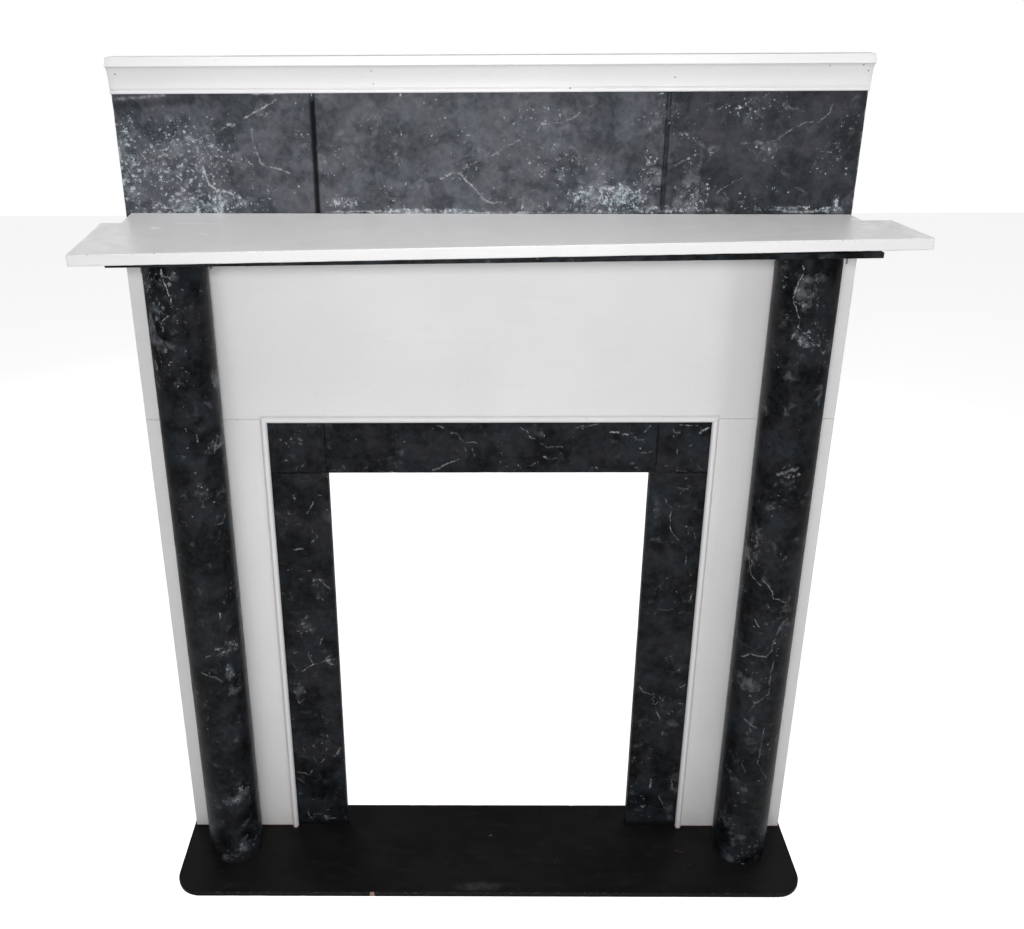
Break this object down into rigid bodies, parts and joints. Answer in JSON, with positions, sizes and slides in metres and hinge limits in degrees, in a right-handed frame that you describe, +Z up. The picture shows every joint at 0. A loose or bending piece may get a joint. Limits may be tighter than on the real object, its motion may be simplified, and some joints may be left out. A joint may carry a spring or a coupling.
{
  "type": "fireplace mantelpiece",
  "caption": "Fireplace mantelpiece with round columns under a shelf, slips round the fire opening, a backboard with a cornice above and a hearth board below.",
  "frame": {"origin": "on the floor, on the hearth board's underside, below the middle of the facing's front face", "axes": "+X to the right as seen from the room, +Y towards the wall, +Z up"},
  "size_m": [1.28, 0.246, 1.523],
  "materials": {
    "white_paint": "white satin paint on timber board, lightly worn",
    "black_marble": "hand-painted black marble effect with pale veins, satin varnish",
    "grey_marble": "hand-painted dark grey marble effect with dense pale clouding, satin varnish",
    "hearth_black": "near-black satin paint on thin board"
  },
  "bodies": {
    "root": {"hearth_board": "hearth_black", "frieze_board": "white_paint", "leg_board_left": "white_paint", "leg_board_right": "white_paint", "side_return_left": "white_paint", "side_return_right": "white_paint", "slip_lintel": "black_marble", "slip_block_left": "black_marble", "slip_block_right": "black_marble", "slip_jamb_upper_left": "black_marble", "slip_jamb_upper_right": "black_marble", "slip_jamb_lower_left": "black_marble", "slip_jamb_lower_right": "black_marble", "bead_left": "white_paint", "bead_right": "white_paint", "bead_top": "white_paint", "column_left": "black_marble", "column_right": "black_marble", "under_board": "black_marble", "mantel_shelf": "white_paint", "back_board": "grey_marble", "cornice_moulding": "white_paint"}
  },
  "joints": []
}
